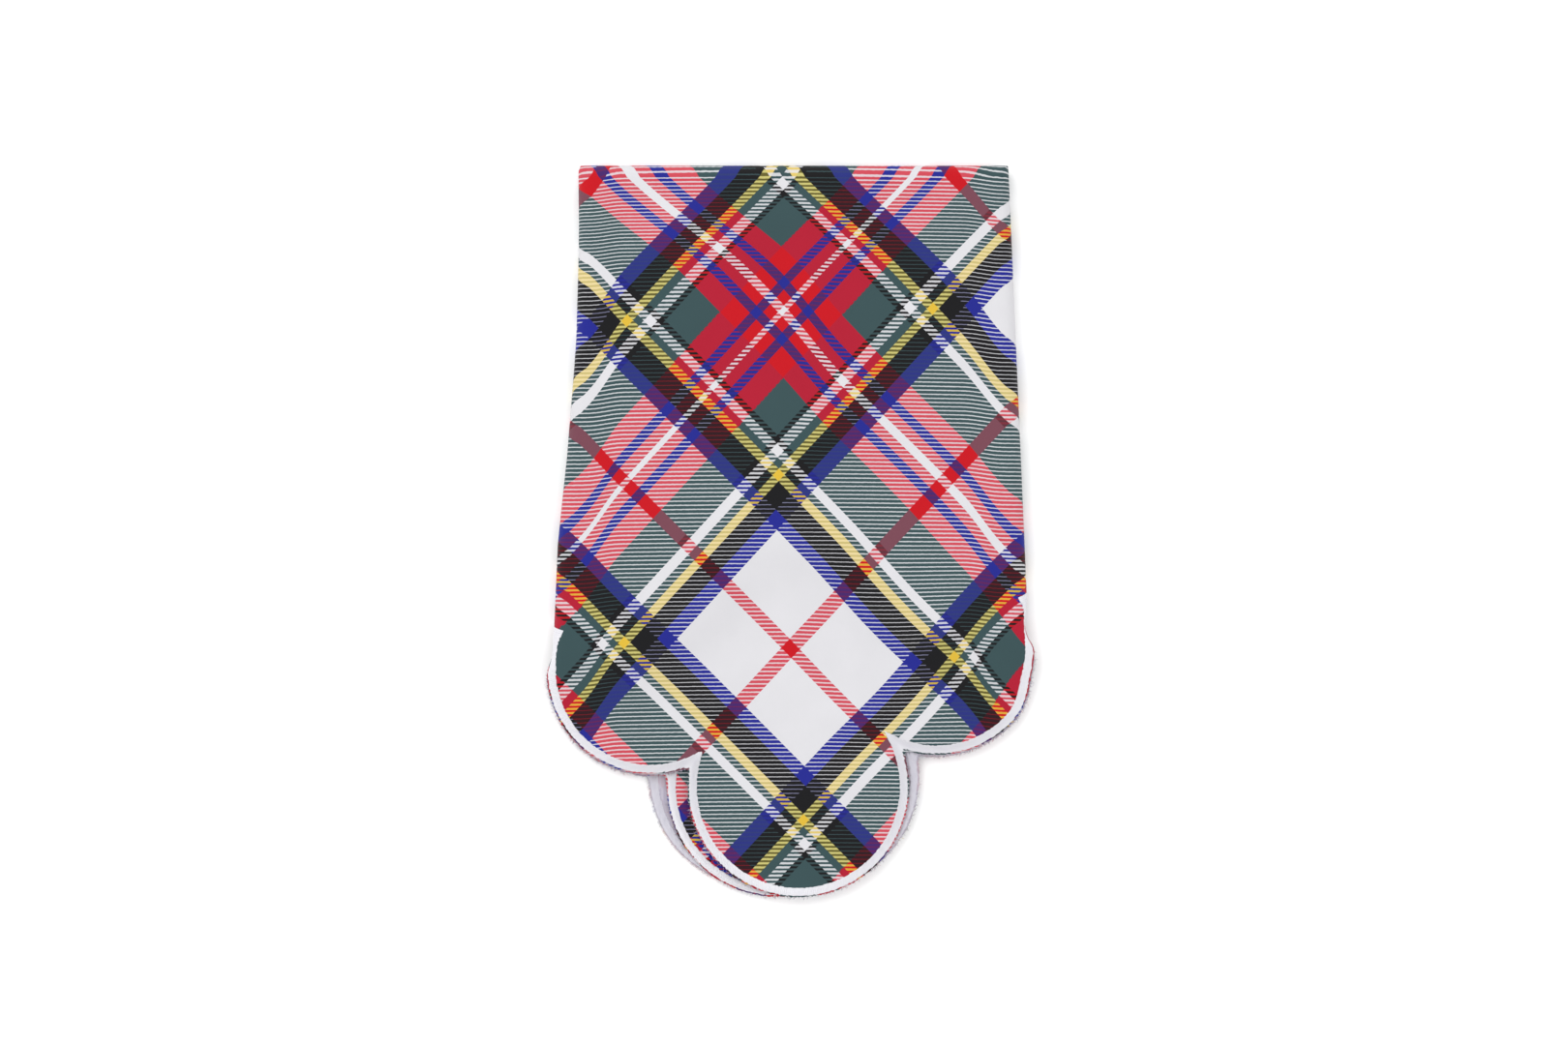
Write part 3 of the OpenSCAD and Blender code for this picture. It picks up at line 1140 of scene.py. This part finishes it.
def fibre(rng, centre, r, start, end, front):
    """One cut fibre: its rings of points in the plan, their lifts, and whether it is white."""
    ease = 1.5 * MM / r
    angle = rng.uniform(start + ease, end - ease)
    lean = rng.uniform(-1.1, 1.1)
    length = rng.uniform(0.3, 1.0) ** 2 * FIBRE_LONGEST
    curl = rng.uniform(-1.2, 1.2)
    rise = rng.uniform(-0.75, 0.75) * (1.0 if front else FLAP_RISE)
    thick = rng.uniform(0.05, 0.09) * MM
    white = rng.uniform() < WHITE_FIBRES
    at = centre + (r - FIBRE_ROOT) * np.array([math.cos(angle), math.sin(angle)])
    base_lift = rng.uniform(-0.6, 0.6) * cloth_t / 2
    points, lifts = [], []
    for n in range(FIBRE_RINGS):
        share = n / (FIBRE_RINGS - 1)
        heading = angle + lean + curl * share
        step = length / (FIBRE_RINGS - 1)
        if n:
            at = at + step * np.array([math.cos(heading), math.sin(heading)])
        sideways = np.array([-math.sin(heading), math.cos(heading)])
        size = thick * (1 - 0.55 * share)
        for m in range(FIBRE_SIDES):
            a = 2 * math.pi * m / FIBRE_SIDES
            points.append(at + sideways * size * math.cos(a))
            lifts.append(base_lift + rise * length * share * 0.5 + size * math.sin(a))
    return points, lifts, white


def make_fray(name, arcs, layer, fold, seed):
    """Short cut fibres that stand out of the trimmed edge, most white and some in the print."""
    rng = np.random.RandomState(seed)
    tube = tube_faces(FIBRE_RINGS, FIBRE_SIDES, side_of(fold) < 0)
    plan, lift, faces, kinds = [], [], [], []
    for arc_ in arcs:
        centre, r = arc_[:2]
        start, end = turn_of(arc_)
        for _ in range(int(r * (end - start) / MM * FIBRES_PER_MM)):
            points, lifts, white = fibre(rng, centre, r, start, end, fold is None)
            faces += [[len(plan) + k for k in face] for face in tube]
            kinds += [int(white)] * len(tube)
            plan += points
            lift += lifts
    plan = flip(np.array(plan), side_of(fold))
    made = new_object(name, settle(plan, layer, np.array(lift), fold is None), faces, [PRINTED, BACK])
    # White fibres take the unprinted face's material, so they carry its painted shade.
    made.data.polygons.foreach_set("material_index", kinds)
    set_uv(made, "print", print_of(layer, plan))
    return made


# ---- the napkin

# A height near the middle of the side folds
FOLD_MIDDLE = -60 * MM


def join(obj, fold):
    """Rides a piece on the front or, where it has a fold, bakes its transform into its mesh."""
    if fold is None:
        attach(obj, "front")
        return
    pivot = fold.corner if fold is TOP else fold.point(0, FOLD_MIDDLE)
    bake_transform(obj)


def build_cloth(body, layer, outline, fold, replaced):
    cloth = make_cloth(f"{body}_layer_{layer}", outline, layer, fold is None)
    join(cloth, fold)
    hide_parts(*replaced)


def build_hem(body, layer, arcs_at, fold, stitch_seed, fray_seed):
    """One layer's stitching on both faces, and its frayed edge."""
    for kind, face in (("needle", printed_side(layer)), ("bobbin", -printed_side(layer))):
        name = f"{body}_{kind}_stitch_{layer}"
        stitch = make_stitch(name, arcs_at, layer, fold, face, kind, stitch_seed)
        join(stitch, fold)
        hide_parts(f"{body}_{kind}_thread_{layer}")
    fray = make_fray(f"{body}_frayed_edge_{layer}", arcs_at(0), layer, fold, fray_seed)
    join(fray, fold)


def build_flap(layer, fold):
    """One layer of a flap, on the layer below it or on the table. The top flap has no hem."""
    body, side = fold.body, fold.side
    outline = flap_outline(layer, side) if side else top_outline(layer)
    build_cloth(body, layer, outline, fold, [f"{body}_cloth_{layer}"])
    if side:
        build_hem(body, layer, lambda inset: flap_arcs(layer, side, inset), fold,
                  206 + 10 * layer + side, 300 + 10 * layer + side)


def build_front(layer):
    """One layer of the front, on the layer below it or, for layer 4, on the flaps."""
    replaced = [f"front_cloth_{layer}"] + [f"{edge}_bend_{layer}" for edge in ("top", "left", "right")]
    build_cloth("front", layer, front_outline(layer), None, replaced)
    build_hem("front", layer, lambda inset: shown_arcs(layer, inset), None, 6 + 10 * layer, 100 + layer)


# Built from the table up: the flaps' layer 1 lies lowest, and the front's layer 1 on top
for layer in LAYERS:
    for fold in (LEFT, RIGHT, TOP):
        build_flap(layer, fold)
for layer in reversed(LAYERS):
    build_front(layer)


# ---- floor and light


def make_floor():
    nodes = Nodes("pale_floor")
    nodes.shader.inputs["Base Color"].default_value = (0.93, 0.93, 0.93, 1.0)
    nodes.shader.inputs["Roughness"].default_value = 0.9
    nodes.shader.inputs["Specular IOR Level"].default_value = 0.1
    half = 3.0
    corners = [(-half, -half, 0), (half, -half, 0), (half, half, 0), (-half, half, 0)]
    floor = new_object("floor", corners, [[0, 1, 2, 3]], [nodes.material])


def add_area_light(name, where, size, power):
    light = bpy.data.objects.new(name, bpy.data.lights.new(name, "AREA"))
    bpy.context.scene.collection.objects.link(light)
    light.data.size = size
    light.data.energy = power
    light.location = where
    aim = -light.location
    light.rotation_euler = aim.to_track_quat("-Z", "Y").to_euler()


make_floor()
world = bpy.data.worlds.new("studio")
bpy.context.scene.world = world
world.use_nodes = True
background = world.node_tree.nodes["Background"]
background.inputs["Color"].default_value = (1.0, 1.0, 1.0, 1.0)
background.inputs["Strength"].default_value = 1.02
add_area_light("key", where=(-0.9, 1.1, 1.5), size=1.4, power=18.0)
add_area_light("fill", where=(1.2, -0.6, 1.6), size=1.6, power=7.0)
bpy.context.scene.view_settings.view_transform = "Standard"

bpy.context.view_layer.update()
